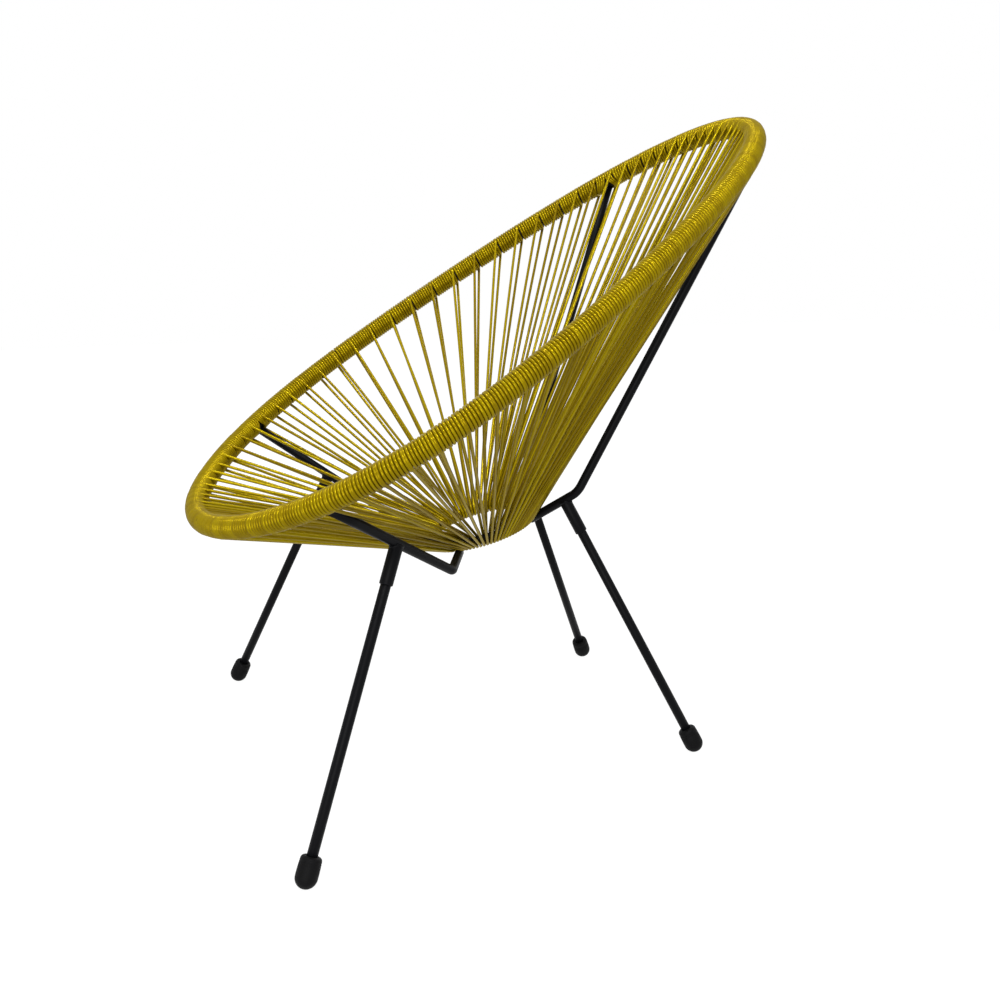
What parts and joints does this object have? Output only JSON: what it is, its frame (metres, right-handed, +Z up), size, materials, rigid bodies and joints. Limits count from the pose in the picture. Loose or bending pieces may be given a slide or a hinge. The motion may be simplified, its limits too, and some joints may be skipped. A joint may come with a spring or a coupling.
{
  "type": "acapulco chair",
  "caption": "Low round lounge chair: an egg-shaped tube hoop wound with plastic cord, whose strands run to a small ring under the seat, on splayed rod legs with rubber feet.",
  "frame": {"origin": "on the floor, under the middle of the chair's bounding box", "axes": "+Z up; the sitter faces -Y; +X is the sitter's left; the chair is symmetric about x = 0"},
  "size_m": [0.647, 0.7751, 0.8556],
  "materials": {
    "black_frame": "satin black powder coat",
    "yellow_cord": "glossy mustard yellow soft plastic cord",
    "black_rubber": "matte black moulded rubber"
  },
  "bodies": {
    "root": {"hoop_tube": "black_frame", "seat_ring": "black_frame", "front_rod_left": "black_frame", "front_leg_socket_left": "black_frame", "front_leg_left": "black_frame", "rear_rod_left": "black_frame", "rear_leg_socket_left": "black_frame", "rear_leg_left": "black_frame", "front_rod_right": "black_frame", "front_leg_socket_right": "black_frame", "front_leg_right": "black_frame", "rear_rod_right": "black_frame", "rear_leg_socket_right": "black_frame", "rear_leg_right": "black_frame", "front_foot_cap_left": "black_rubber", "rear_foot_cap_left": "black_rubber", "front_foot_cap_right": "black_rubber", "rear_foot_cap_right": "black_rubber", "cord_front": "yellow_cord", "cord_left_1": "yellow_cord", "cord_left_2": "yellow_cord", "cord_left_3": "yellow_cord", "cord_left_4": "yellow_cord", "cord_left_5": "yellow_cord", "cord_top": "yellow_cord", "cord_right_5": "yellow_cord", "cord_right_4": "yellow_cord", "cord_right_3": "yellow_cord", "cord_right_2": "yellow_cord", "cord_right_1": "yellow_cord"}
  },
  "joints": []
}
